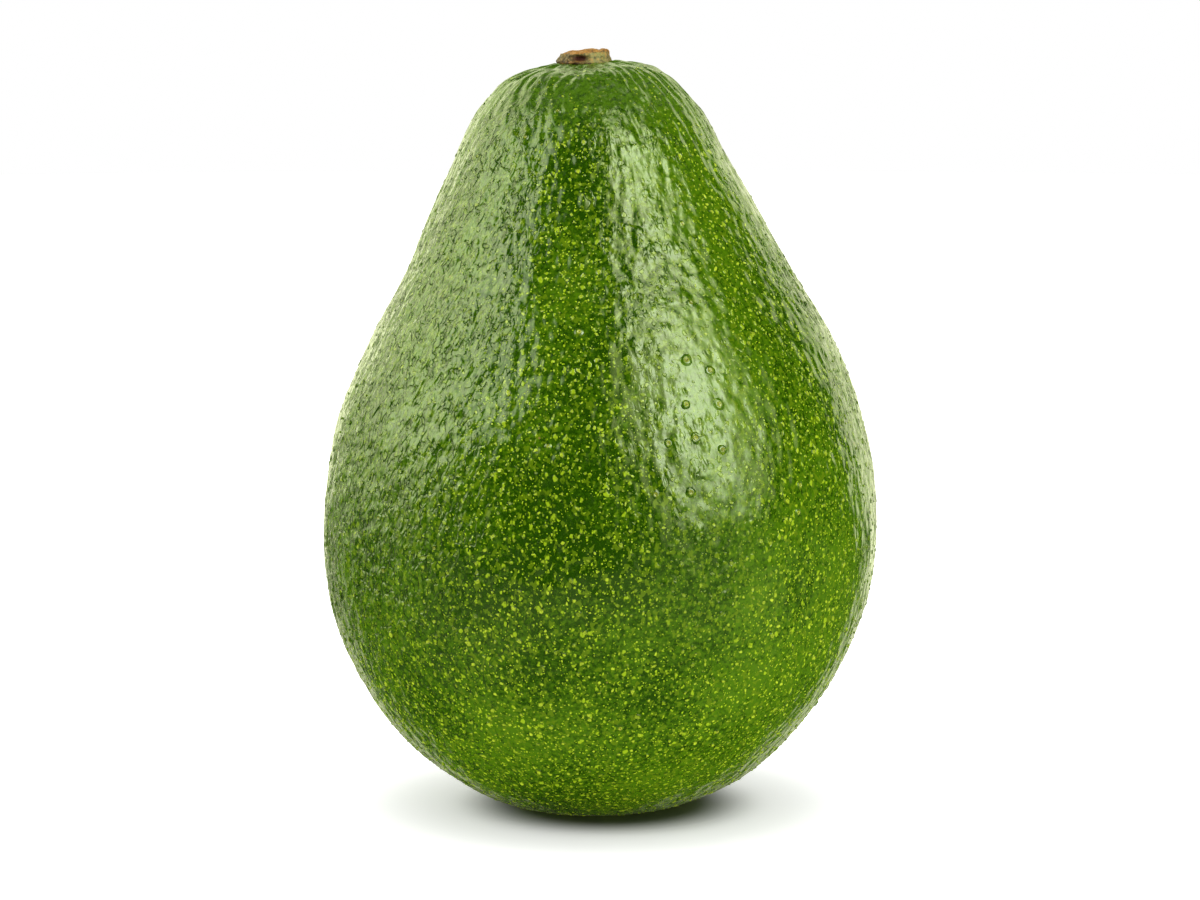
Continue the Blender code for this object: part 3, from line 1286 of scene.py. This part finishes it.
    def masks(self, sheet: NodeSheet) -> Masks:
        """Draw the masks that more than one part of the pattern reads.

        Args:
            sheet: where the nodes go.

        Returns:
            The masks.
        """
        wrinkled, calm, crown = (sheet.mark(mark) for mark in (Mark.WRINKLE, Mark.CALM, Mark.CROWN))
        welts, threads = self.strokes(sheet, *self.welts), self.strokes(sheet, *self.threads)
        clustered = sheet.weigh((sheet.grain(self.clusters), 1.0), (wrinkled, 0.50))
        rugged = sheet.remap(clustered, *self.rugged_by_cluster)
        scaly = sheet.times(rugged, sheet.remap(calm, *self.scaly_by_calm))
        sunk = sheet.remap(sheet.sums("MINIMUM", welts, threads), *self.sunk_edge)
        return Masks(
            wrinkled=wrinkled,
            calm=calm,
            crown=crown,
            plain=sheet.sums("SUBTRACT", 1.0, crown),
            flecks=sheet.sums("MAXIMUM", sheet.dots(self.large_flecks), sheet.dots(self.small_flecks)),
            buttons=sheet.dots(self.buttons),
            pores=sheet.dots(self.pores),
            cracked=sheet.times(self.cracks(sheet), sheet.remap(wrinkled, *self.cracked_by_wrinkle)),
            welts=welts,
            threads=threads,
            scaly=scaly,
            sunk=sheet.times(sunk, scaly, wrinkled),
            fine=sheet.grain(self.fine),
        )

    def colour(
        self, sheet: NodeSheet, masks: Masks, deep: Socket, bright: Socket, fleck: Socket
    ) -> Socket:
        """Lay the pattern's colours over each other.

        Args:
            sheet: where the nodes go.
            masks: where each thing is.
            deep: the green of the darkest skin, which also fills cracks and sunk strokes as painted
                shade.
            bright: the green of the palest skin.
            fleck: the yellow-green of flecks and buttons.

        Returns:
            The rind's colour.
        """
        # The tone takes in the painted light and shade of its mark, and the crown is painted paler, as
        # painted light from above.
        tone = sheet.weigh(
            (sheet.grain(self.patches), 0.30),
            (sheet.grain(self.mottle), 0.50),
            (sheet.grain(self.speckle), 0.75),
            (sheet.mark(Mark.PAINTED_LIGHT_AND_PATCHES), 0.20),
            (masks.crown, 0.12),
        )
        blots = sheet.weigh((sheet.remap(sheet.grain(self.blots), *self.blot_ramp), 0.7))
        spots = (sheet.weigh(spot) for spot in ((masks.flecks, 0.85), (masks.buttons, 0.7)))
        spots = sheet.sums("MAXIMUM", *spots)
        return sheet.layered(
            deep,
            (sheet.remap(tone, *self.tone_ramp), bright),
            (sheet.times(blots, masks.plain), self.blot),
            # Flecks and buttons are painted paler on calm skin, out of the highlights, and duller where
            # highlights fall: painted light and shade.
            (sheet.times(spots, sheet.remap(masks.calm, *self.spots_painted_by_calm), masks.plain), fleck),
            (sheet.weigh((sheet.dots(self.corky), 0.8)), self.cork),
            (sheet.weigh((masks.pores, 0.6)), self.pore),
            # Painted shade: cracks and sunk strokes are darkened towards the deep green.
            (sheet.remap(masks.cracked, *self.painted_crack_shade), deep),
            (sheet.weigh((masks.sunk, 0.5)), deep),
        )

    def height(self, sheet: NodeSheet, masks: Masks) -> Socket:
        """Add up the pattern's relief, in millimetres.

        Args:
            sheet: where the nodes go.
            masks: where each thing is.

        Returns:
            The height, with the leathery relief only where the skin is scaly and plain.
        """
        plate = sheet.remap(sheet.grain(self.plate), *self.plate_ramp)
        streaky = sheet.remap(masks.wrinkled, *self.streaky_by_wrinkle)
        leathery = sheet.weigh(
            (plate, self.plate_depth),
            (sheet.times(masks.welts, streaky), self.welt_depth),
            (sheet.times(masks.threads, streaky), self.thread_depth),
            (self.strokes(sheet, *self.splinters), self.splinter_depth),
            (masks.cracked, -self.crack_depth),
            (sheet.grain(self.leather), self.leather_depth),
        )
        pebbles = self.pebbles(sheet)
        return sheet.weigh(
            (sheet.grain(self.soft), self.soft_depth),
            (sheet.times(pebbles, sheet.weigh((masks.wrinkled, 2.0))), self.wrinkled_pebble_depth),
            (pebbles, self.pebble_depth),
            (masks.fine, self.fine_depth),
            (masks.flecks, self.fleck_depth),
            (masks.buttons, self.button_depth),
            (masks.pores, -self.pore_depth),
            (sheet.times(leathery, masks.scaly, masks.plain), 1.0),
        )

    def strokes(self, sheet: NodeSheet, per_millimetre: float, upwards: float) -> Socket:
        """Draw short strokes that lean outwards from the front, one in each cell.

        In each cell the distance from its middle is measured along and across a line that
        leans with x. Some cells hold a raised stroke, some a sunk one and some none.

        Args:
            sheet: where the nodes go.
            per_millimetre: cells to a millimetre across.
            upwards: cells upwards for each cell across.

        Returns:
            From -1 in the middle of a sunk stroke to 1 in the middle of a raised one.
        """
        vector = sheet.place(per_millimetre, upwards)
        cell = sheet.cells(vector)
        off_middle = sheet.vectors("SUBTRACT", vector, cell.outputs["Position"])
        local = sheet.split(off_middle.outputs["Vector"])
        lean = sheet.remap(sheet.split(sheet.place(1.0))["X"], *self.stroke_lean)
        lean = sheet.times(sheet.times(lean, 1.0 / upwards), local["Z"])
        offsets = (sheet.sums("ADD", local["X"], lean), local["Y"], local["Z"])
        shares = [sheet.times(offset, 1.0 / size) for offset, size in zip(offsets, self.stroke_size)]
        wide = sheet.node("ShaderNodeCombineXYZ", dict(enumerate(shares)))
        length = sheet.vectors("LENGTH", wide.outputs[0]).outputs["Value"]
        stroke = sheet.remap(length, *self.stroke_fade)
        luck = sheet.luck(cell)[0]
        raised, sunk = (sheet.remap(luck, *ramp) for ramp in (self.raised_strokes, self.sunk_strokes))
        return sheet.times(stroke, sheet.sums("SUBTRACT", raised, sunk))

    def pebbles(self, sheet: NodeSheet) -> Socket:
        """Draw low round mounds side by side, from 0 between them to 1 on top."""
        cell = sheet.cells(sheet.place(*self.pebble_cells), "SMOOTH_F1")
        cell.inputs["Smoothness"].default_value = self.pebble_merge
        return sheet.remap(cell.outputs["Distance"], *self.pebble_fade)

    def cracks(self, sheet: NodeSheet) -> Socket:
        """Draw thin broken grooves along the meridians, where noise crosses its middle value.

        Args:
            sheet: where the nodes go.

        Returns:
            1 in the middle of a groove and 0 on the plates between them.
        """
        off_middle = sheet.sums("ABSOLUTE", sheet.sums("SUBTRACT", sheet.grain(self.crack), 0.5))
        groove = sheet.remap(off_middle, 0.0, self.crack_half_width, 1.0, 0.0)
        return sheet.times(groove, sheet.remap(sheet.grain(self.crack_breaks), *self.crack_gaps))


@dataclass(frozen=True)
class RindFinish:
    """The waxy, pebbled green rind."""

    specular: float = 0.80
    specular_tint: Colour = (0.88, 1.0, 0.50, 1.0)

    def build(self) -> bpy.types.Material:
        """Make the rind's material."""
        material, sheet = new_material("avocado_rind")
        pattern = sheet.node("ShaderNodeGroup", node_tree=RindPattern().group()).outputs
        sockets = {
            "Base Color": pattern["Colour"],
            "Roughness": pattern["Roughness"],
            "Normal": sheet.bump(pattern["Height"], 1.0),
            "Specular IOR Level": self.specular,
            "Specular Tint": self.specular_tint,
        }
        sheet.surface(sheet.node("ShaderNodeBsdfPrincipled", sockets))
        return material


# Lenticels are painted paler on calm skin, out of the highlights, and deeper where highlights fall:
# painted light and shade.
@dataclass(frozen=True)
class LenticelFinish:
    """Corky yellow-green lenticels, paler on calm skin, whose skirts keep the rind's colour."""

    name: str
    pale: Colour = (0.360, 0.460, 0.018, 1.0)
    olive: Colour = (0.085, 0.140, 0.003, 1.0)
    pit: Colour = (0.050, 0.048, 0.006, 1.0)
    grit: Grain = Grain(4.0)
    grit_depth: float = 0.04
    roughness: Pair = (0.10, 0.16)
    specular: float = 1.0
    specular_tint: Colour = (0.88, 1.0, 0.60, 1.0)

    def build(self) -> bpy.types.Material:
        """Make the material of one sort of lenticel."""
        material, sheet = new_material(self.name)
        pattern = sheet.node("ShaderNodeGroup", node_tree=RindPattern().group()).outputs
        corky = sheet.mark(Mark.CORK)
        # The cork's tone follows the rind's painted light and shade, and is painted paler on calm skin,
        # out of the highlights.
        parts = ((Mark.TONE, 1.0), (Mark.PAINTED_LIGHT_AND_PATCHES, 0.18), (Mark.CALM, 0.9))
        tone = sheet.weigh(*((sheet.mark(mark), weight) for mark, weight in parts))
        tone = sheet.sums("ADD", tone, -0.5)
        grit = sheet.grain(self.grit)
        cork = sheet.layered(
            self.olive,
            (sheet.remap(tone, -0.1, 1.1), self.pale),
            (sheet.remap(grit, 0.35, 0.75, 0.0, 0.5), self.olive),
        )
        skirt = sheet.times(pattern["Height"], sheet.sums("SUBTRACT", 1.0, corky))
        height = sheet.weigh((skirt, 1.0), (grit, self.grit_depth))
        colour = sheet.layered(pattern["Colour"], (corky, cork), (sheet.mark(Mark.PIT), self.pit))
        sockets = {
            "Base Color": colour,
            "Roughness": sheet.remap(corky, 0.0, 1.0, *self.roughness),
            "Normal": sheet.bump(height, 1.0),
            "Specular IOR Level": self.specular,
            "Specular Tint": self.specular_tint,
        }
        sheet.surface(sheet.node("ShaderNodeBsdfPrincipled", sockets))
        return material


GOLD_RIMS = LenticelFinish(
    name=SpotKind.RING.value, pale=(0.290, 0.330, 0.024, 1.0), olive=(0.160, 0.190, 0.012, 1.0)
)


@dataclass(frozen=True)
class StalkFinish:
    """Dry stalk: tan at the curled rim, maroon in the hollow, olive on one side."""

    bark: Colour = (0.110, 0.068, 0.016, 1.0)
    dark_bark: Colour = (0.030, 0.012, 0.003, 1.0)
    tan: Colour = (0.270, 0.125, 0.020, 1.0)
    gold_and_painted_highlight: Colour = (0.420, 0.225, 0.045, 1.0)
    maroon_and_painted_shade: Colour = (0.040, 0.008, 0.002, 1.0)
    olive: Colour = (0.210, 0.200, 0.055, 1.0)
    blotch: Grain = Grain(0.9, 3.0, 0.6)
    fibre: Grain = Grain(2.4, 3.0, 0.6, 0.25)
    grit: Grain = Grain(6.0)
    streaks: Grain = Grain(1.3, 2.0, 0.6, 1.8)
    depth: float = 0.12
    specular: float = 0.25

    def build(self) -> bpy.types.Material:
        """Make the stub's material."""
        material, sheet = new_material("dry_stalk")
        grains = (self.blotch, self.fibre, self.grit, self.streaks)
        blotch, fibre, grit, streaks = (sheet.grain(grain) for grain in grains)
        colour = sheet.layered(
            self.dark_bark,
            (sheet.remap(blotch, 0.35, 0.65), self.bark),
            (sheet.mark(Mark.MOSS), self.olive),
            (sheet.remap(sheet.mark(Mark.RIM), 0.30, 0.95), self.tan),
            # Yellow-tan streaks: partly the stalk's fibres, partly painted highlight lines on the rim.
            (sheet.remap(streaks, 0.52, 0.64, 0.0, 0.55), self.gold_and_painted_highlight),
            (sheet.remap(streaks, 0.34, 0.46, 0.75, 0.0), self.dark_bark),
            # Dark red-brown in the recess under the rim and in the hollow: partly the stalk's own
            # colour, partly painted shade.
            (sheet.mark(Mark.HOLLOW), self.maroon_and_painted_shade),
            (sheet.remap(fibre, 0.45, 0.75, 0.0, 0.4), self.dark_bark),
        )
        sockets = {
            "Base Color": colour,
            "Roughness": sheet.remap(blotch, 0.3, 0.7, 0.45, 0.75),
            "Normal": sheet.bump(sheet.sums("ADD", fibre, sheet.times(grit, 0.4)), self.depth),
            "Specular IOR Level": self.specular,
        }
        sheet.surface(sheet.node("ShaderNodeBsdfPrincipled", sockets))
        return material


# ---------------------------------------------------------------- the studio


WHITE: Colour = (1.0, 1.0, 1.0, 1.0)
WARM: Colour = (0.97, 1.0, 0.66, 1.0)
COOL: Colour = (0.96, 0.98, 1.40, 1.0)
PALE_BLUE: Colour = (0.97, 0.99, 1.16, 1.0)


@dataclass(frozen=True)
class Face:
    """The glowing face of a light: its radiance, where it fades out, and its colour.

    It fades towards its sides and its ends from two shares of their distance from the
    middle. At its corners those distances are added up: all four fade over the corner
    cut, and the lower two over the foot cut.
    """

    radiance: float
    soft_from: Pair = (0.9, 0.9)
    foot_cut: Pair = (1.15, 1.65)
    tint: Colour = WHITE
    corner_cut: Pair = (1.15, 1.65)


@dataclass(frozen=True)
class Softbox:
    """A soft upright rectangular light, placed by the angles it covers as seen from the fruit.

    Bearings are clockwise from the camera's side as seen from below, so that the right of
    the view is positive. Its lean turns it about its own middle.
    """

    name: str
    bearings: Pair
    elevations: Pair
    distance: float
    lean: float
    face: Face


@dataclass
class Studio:
    """A white table and surroundings, softboxes round it, and the camera.

    A ramp is the values where it starts and ends, and what it runs from and to. The
    table's ramps are over the distance from the contact shadow's middle. The overhead
    and table lights are their height, their side and their radiance.
    """

    aim_height: float = 49.4
    aim_side: float = 0.7
    camera_distance: float = 550.0
    camera_rise: float = np.radians(8.0)
    lens: float = 120.0
    sensor: float = 36.0
    floor_radius: float = 1250.0
    floor_sides: int = 96
    # The grey and its ramp paint the contact shadow; the ramps after them paint light that whitens the
    # table away from it.
    painted_shadow_grey: Colour = (0.25, 0.25, 0.25, 1.0)
    floor_pale: Colour = (0.86, 0.86, 0.86, 1.0)
    painted_shadow_ramp: Pair = (9.0, 22.0)
    painted_light_whitening: tuple[Ramp, Ramp] = ((12.0, 23.0, 0.0, 0.44), (22.0, 80.0, 0.0, 0.6))
    bounce: Ramp = (8.0, 42.0, 0.6, 2.4)
    shadow_side: float = 2.0
    surround: float = 0.22
    reflected: Ramp = (-0.35, -0.08, 0.34, 0.0)
    dim_below: Ramp = (-0.9, -0.2, 0.15, 1.0)
    toward_camera: Ramp = (-0.2, 0.3, 1.0, 0.12)
    limb: Ramp = (0.66, 0.95, 0.0, 3.2)
    limb_beside: Pair = (0.05, 0.24)
    table_light: Triple = (700.0, 2200.0, 1.5)
    overhead: Triple = (900.0, 700.0, 2.4)
    softboxes: tuple[Softbox, ...] = (
        Softbox(
            "left_softbox", (-110.0, -45.0), (-18.0, 62.0), 800.0, -37.0,
            Face(2.75, (0.80, 0.45), (0.52, 1.10), PALE_BLUE),
        ),
        Softbox(
            "left_rim", (-168.0, -112.0), (-22.0, 58.0), 1000.0, 0.0,
            Face(1.05, (0.50, 0.40), tint=WARM),
        ),
        Softbox(
            "left_fill", (-150.0, -55.0), (-21.0, 58.0), 950.0, -10.0,
            Face(1.9, (0.60, 0.35), (0.65, 1.30), WARM),
        ),
        Softbox(
            "right_softbox", (5.0, 86.0), (-15.0, 60.0), 900.0, 17.0,
            Face(2.4, (0.25, 0.42), tint=WARM),
        ),
        Softbox(
            "right_lamp", (27.0, 66.0), (-8.0, 56.0), 880.0, 6.0,
            Face(5.8, (0.15, 0.10), tint=COOL),
        ),
        Softbox("right_top", (10.0, 80.0), (32.0, 72.0), 840.0, 8.0, Face(3.6, (0.10, 0.25))),
        Softbox(
            "backdrop", (122.0, 218.0), (-20.0, 50.0), 1300.0, 0.0,
            Face(1.6, (0.75, 0.7), tint=WARM),
        ),
    )

    def build(self) -> None:
        """Set up the table, the surroundings, the lights and the camera."""
        floor = self.add_floor()
        spared = self.only("not_lit_by_softboxes", floor)
        spared.collection_objects[0].light_linking.link_state = "EXCLUDE"
        self.add_surroundings()
        for softbox in self.softboxes:
            self.add_softbox(softbox, spared)
        self.add_overhead(floor)
        self.add_camera()

    @staticmethod
    def only(name: str, piece: bpy.types.Object) -> bpy.types.Collection:
        """Make a collection of one object, for a light to read."""
        group = bpy.data.collections.new(name)
        group.objects.link(piece)
        return group

    def add_floor(self) -> bpy.types.Object:
        """Lay a wide pale table under the fruit, which turns pure white away from it.

        As seen, it is painted grey near the fruit as a painted contact shadow, and glows
        more and more away from it, painted light that whitens it; what it gives off as
        light fills the fruit from below.

        Returns:
            The table's object.
        """
        bpy.ops.mesh.primitive_circle_add(
            vertices=self.floor_sides, radius=self.floor_radius * MM, fill_type="NGON"
        )
        floor = bpy.context.object
        floor.name = "white_table"
        material, sheet = new_material("matt_white")
        shifted = sheet.vectors("SUBTRACT", sheet.place(1.0), (self.shadow_side, 0.0, 0.0))
        far = sheet.vectors("LENGTH", shifted.outputs["Vector"]).outputs["Value"]
        # Painted contact shadow: the table is grey near the fruit.
        base = sheet.layered(self.painted_shadow_grey, (sheet.remap(far, *self.painted_shadow_ramp), self.floor_pale))
        # Painted light: the table as seen glows more and more away from the fruit.
        white = sheet.sums("ADD", *(sheet.remap(far, *ramp) for ramp in self.painted_light_whitening))
        sockets = {
            "Base Color": base,
            "Roughness": 0.6,
            "Specular IOR Level": 0.2,
            "Emission Color": white,
            "Emission Strength": 1.0,
        }
        seen = sheet.node("ShaderNodeBsdfPrincipled", sockets)
        glow = sheet.node("ShaderNodeEmission", {"Strength": sheet.remap(far, *self.bounce)})
        is_seen = sheet.node("ShaderNodeLightPath").outputs["Is Camera Ray"]
        sheet.surface(sheet.either(is_seen, glow, seen))
        floor.data.materials.append(material)
        floor.visible_glossy = False
        return floor

    def add_surroundings(self) -> None:
        """Make the surroundings: white as seen, dim as light, and aglow from below in gloss."""
        world = bpy.data.worlds.new("white_surroundings")
        world.use_nodes = True
        sheet = NodeSheet(world.node_tree)
        path = sheet.node("ShaderNodeLightPath").outputs
        way = sheet.split(sheet.node("ShaderNodeTexCoord").outputs["Generated"])
        rising = sheet.remap(way["Z"], *self.reflected)
        steep = sheet.remap(way["Z"], *self.dim_below)
        toward = sheet.remap(way["Y"], *self.toward_camera)
        beside = sheet.remap(sheet.sums("ABSOLUTE", way["X"]), *self.limb_beside)
        behind = sheet.times(sheet.remap(way["Y"], *self.limb), beside)
        below = sheet.times(rising, steep, sheet.sums("ADD", toward, behind))
        seen = sheet.node("ShaderNodeBackground", {"Color": WHITE, "Strength": 1.0})
        mirrored = sheet.node("ShaderNodeBackground", {"Color": WARM, "Strength": below})
        lighting = sheet.node("ShaderNodeBackground", {"Strength": self.surround})
        unseen = sheet.either(path["Is Glossy Ray"], lighting, mirrored)
        sheet.surface(sheet.either(path["Is Camera Ray"], unseen, seen), "ShaderNodeOutputWorld")
        bpy.context.scene.world = world

    def add_softbox(self, softbox: Softbox, spared: bpy.types.Collection) -> None:
        """Stand one soft light upright so that it covers its bearings and elevations.

        Args:
            softbox: the angles that it covers, how far off it is, its lean and its face.
            spared: the collection that it doesn't light.
        """
        first, last = np.radians(softbox.bearings)
        low, high = (
            self.aim_height + softbox.distance * np.tan(np.radians(rise)) for rise in softbox.elevations
        )
        bearing = (first + last) * 0.5
        outward = Vector((np.sin(bearing), -np.cos(bearing), 0.0))
        size = (2.0 * softbox.distance * np.tan((last - first) * 0.5), high - low)
        middle = outward * softbox.distance + Vector((0.0, 0.0, (low + high) * 0.5))
        light = self.add_light(softbox.name, middle, outward, size, softbox.face)
        light.rotation_euler.rotate_axis("Z", np.radians(softbox.lean))
        light.light_linking.receiver_collection = spared

    def add_overhead(self, floor: bpy.types.Object) -> None:
        """Hang a square soft light above the fruit, and a wide one that lights only the table."""
        above = Vector((0.0, 0.0, 1.0))
        table_only = self.only("lit_by_table_light", floor)
        for name, given, lit in (
            ("overhead", self.overhead, None),
            ("table_light", self.table_light, table_only),
        ):
            height, side, radiance = given
            light = self.add_light(name, above * height, above, (side, side), Face(radiance))
            light.visible_glossy = False
            light.light_linking.receiver_collection = lit

    @staticmethod
    def add_light(
        name: str,
        middle: Vector,
        outward: Vector,
        size: Pair,
        face: Face,
    ) -> bpy.types.Object:
        """Add a rectangular light, which lights and is mirrored but isn't seen itself.

        Args:
            name: name of the light.
            middle: its middle, in millimetres.
            outward: direction from the fruit to the light.
            size: its width and height, in millimetres.
            face: how bright it is, where it fades out, and its colour.

        Returns:
            The light's object.
        """
        data = bpy.data.lights.new(name, "AREA")
        data.shape = "RECTANGLE"
        data.size, data.size_y = (side * MM for side in size)
        data.energy = face.radiance * np.pi * data.size * data.size_y
        data.use_nodes = True
        sheet = NodeSheet(data.node_tree)
        across = sheet.node("ShaderNodeNewGeometry").outputs["Parametric"]
        spread = sheet.vectors("MULTIPLY", across, (2.0, 2.0, 0.0)).outputs["Vector"]
        centred = sheet.split(sheet.vectors("SUBTRACT", spread, (1.0, 1.0, 0.0)).outputs["Vector"])
        beside, beyond = (sheet.sums("ABSOLUTE", centred[axis]) for axis in ("X", "Y"))
        ramps = (
            (beside, face.soft_from[0], 1.0),
            (beyond, face.soft_from[1], 1.0),
            (sheet.sums("ADD", beside, beyond), *face.corner_cut),
            (sheet.sums("SUBTRACT", beside, centred["Y"]), *face.foot_cut),
        )
        fall = sheet.times(*(sheet.remap(*ramp, 1.0, 0.0) for ramp in ramps))
        emission = sheet.node("ShaderNodeEmission", {"Color": face.tint, "Strength": fall})
        sheet.surface(emission, "ShaderNodeOutputLight")
        light = bpy.data.objects.new(name, data)
        light.location = middle * MM
        light.rotation_euler = outward.to_track_quat("Z", "Y").to_euler()
        light.visible_camera = False
        bpy.context.scene.collection.objects.link(light)
        return light

    def add_camera(self) -> None:
        """Set the camera a little above the fruit's middle, with a long lens."""
        data = bpy.data.cameras.new("camera")
        data.lens = self.lens
        data.sensor_width = self.sensor
        camera = bpy.data.objects.new("camera", data)
        aim = Vector((self.aim_side, 0.0, self.aim_height)) * MM
        back = Vector((0.0, -np.cos(self.camera_rise), np.sin(self.camera_rise)))
        camera.location = aim + back * self.camera_distance * MM
        camera.rotation_euler = back.to_track_quat("Z", "Y").to_euler()
        bpy.context.scene.collection.objects.link(camera)
        bpy.context.scene.camera = camera


# ---------------------------------------------------------------- the whole


def dress(piece: bpy.types.Object, material: bpy.types.Material) -> None:
    """Give a piece its finish, and report it."""
    piece.data.materials.append(material)
    LOG.info("%s: %d faces, %s", piece.name, len(piece.data.polygons), material.name)


def frame_scale(form: FruitForm) -> float:
    """Find how much larger the frame's fruit is than the form, from the height of its seat."""
    low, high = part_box("fruit")
    rim = form.place(np.array(form.seat_height), np.array(form.seat_radius), np.array(0.0))
    return float((high.z - low.z) / MM / rim[2])


def main() -> None:
    """Build the rind, its lenticels, the stub and the studio, and report each piece."""
    logging.basicConfig(level=logging.INFO, format="%(name)s: %(message)s")
    form = FruitForm()
    scale = frame_scale(form)
    LOG.info("scale %.4f", scale)
    Studio().build()
    rind = Rind(form)
    smooth = rind.smooth_surface()
    lenticels = Lenticels(rind, smooth)
    places = lenticels.scatter()
    surface = rind.relief(smooth)
    dress(rind.build(surface, scale), RindFinish().build())
    for shape in lenticels.shapes:
        row, column = places[shape.kind]
        finish = GOLD_RIMS if shape.kind is SpotKind.RING else LenticelFinish(shape.kind.value)
        dress(lenticels.build(shape, surface, row, column, scale), finish.build())
    dress(StalkStub(form).build(scale), StalkFinish().build())
    bpy.context.scene.view_settings.view_transform = "Standard"


if __name__ == "__main__":
    main()
